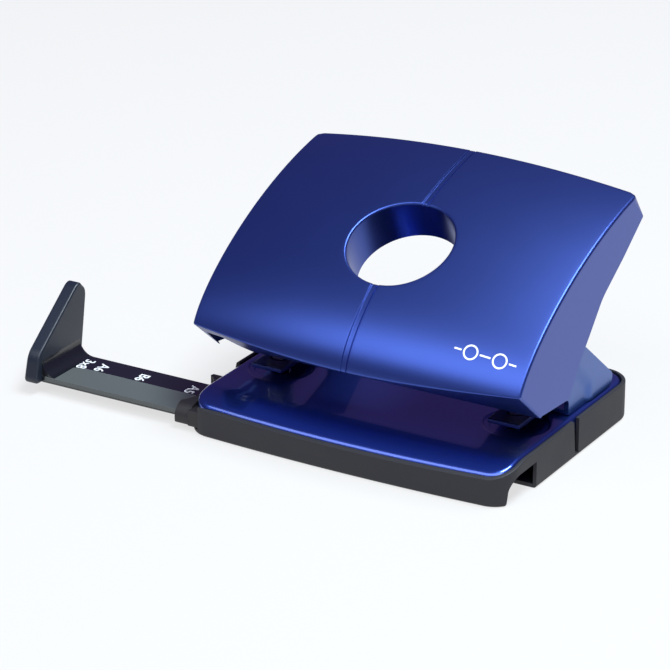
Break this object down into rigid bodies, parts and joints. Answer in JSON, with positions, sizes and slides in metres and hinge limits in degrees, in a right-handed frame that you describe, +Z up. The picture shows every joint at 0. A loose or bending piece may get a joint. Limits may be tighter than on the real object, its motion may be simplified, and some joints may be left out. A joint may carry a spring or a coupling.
{
  "type": "hole punch",
  "caption": "Desk hole punch: curved lever shell with a big round eye on a pressed base plate, chip tray with a drop flap and a pull-out paper stop rail.",
  "frame": {"origin": "on the table under the middle of the base, at the rest face", "axes": "+X along the row of holes towards the end without the rail, +Y from the front edge with the rail to the rear, +Z up"},
  "size_m": [0.1659, 0.0843, 0.0747],
  "materials": {
    "lever_plastic": "satin moulded, slightly pearlescent",
    "tray_plastic": "fine eroded texture",
    "rail_plastic": "satin with printed format band",
    "guide_plastic": "satin moulded",
    "blue_enamel": "gloss stoved enamel",
    "bracket_enamel": "gloss stoved enamel",
    "zinc_steel": "bright zinc plated",
    "tool_steel": "ground and hardened",
    "spring_steel": "drawn wire",
    "arm_steel": "zinc plated sheet"
  },
  "bodies": {
    "base": {"base_plate": "blue_enamel", "tray_rear": "tray_plastic", "rail_guide": "guide_plastic", "pivot_axle": "zinc_steel", "bracket_left": "bracket_enamel", "bracket_right": "bracket_enamel", "axle_clip_left": "spring_steel", "axle_clip_right": "spring_steel", "pin_spring_left": "spring_steel", "pin_spring_right": "spring_steel", "bracket_rivet_left_front": "zinc_steel", "bracket_rivet_left_rear": "zinc_steel", "bracket_rivet_right_front": "zinc_steel", "bracket_rivet_right_rear": "zinc_steel"},
    "lever": {"lever_shell": "lever_plastic", "press_arm_left": "arm_steel", "press_arm_right": "arm_steel", "arm_screw_left": "zinc_steel", "arm_screw_right": "zinc_steel"},
    "punch_left": {"punch_pin_left": "tool_steel", "pin_ring_left": "spring_steel"},
    "punch_right": {"punch_pin_right": "tool_steel", "pin_ring_right": "spring_steel"},
    "rail": {"paper_rail": "rail_plastic"},
    "flap": {"tray_flap": "tray_plastic"}
  },
  "joints": [
    {"name": "lever_hinge", "type": "hinge", "parent": "base", "child": "lever", "pos_m": [0, -0.0185, 0.028], "axis": [-1, 0, 0], "range_deg": [0, 28], "stiffness_Nm_per_rad": 0.25, "springref_deg": -17.19},
    {"name": "punch_slide_left", "type": "slide", "parent": "base", "child": "punch_left", "axis": [0, 0, -1], "range_m": [0, 0.0051], "deforming": ["pin_spring_left"]},
    {"name": "punch_slide_right", "type": "slide", "parent": "base", "child": "punch_right", "axis": [0, 0, -1], "range_m": [0, 0.0051], "deforming": ["pin_spring_right"]},
    {"name": "rail_slide", "type": "slide", "parent": "base", "child": "rail", "axis": [-1, 0, 0], "range_m": [-0.04, 0.0415]},
    {"name": "flap_hinge", "type": "hinge", "parent": "base", "child": "flap", "pos_m": [0, 0.0044, 0.00015], "axis": [1, 0, 0], "range_deg": [0, 75]}
  ],
  "couplings": [
    {"joint": "punch_slide_left", "follows": "lever_hinge", "m_per_rad": 0.0104},
    {"joint": "punch_slide_right", "follows": "lever_hinge", "m_per_rad": 0.0104}
  ]
}
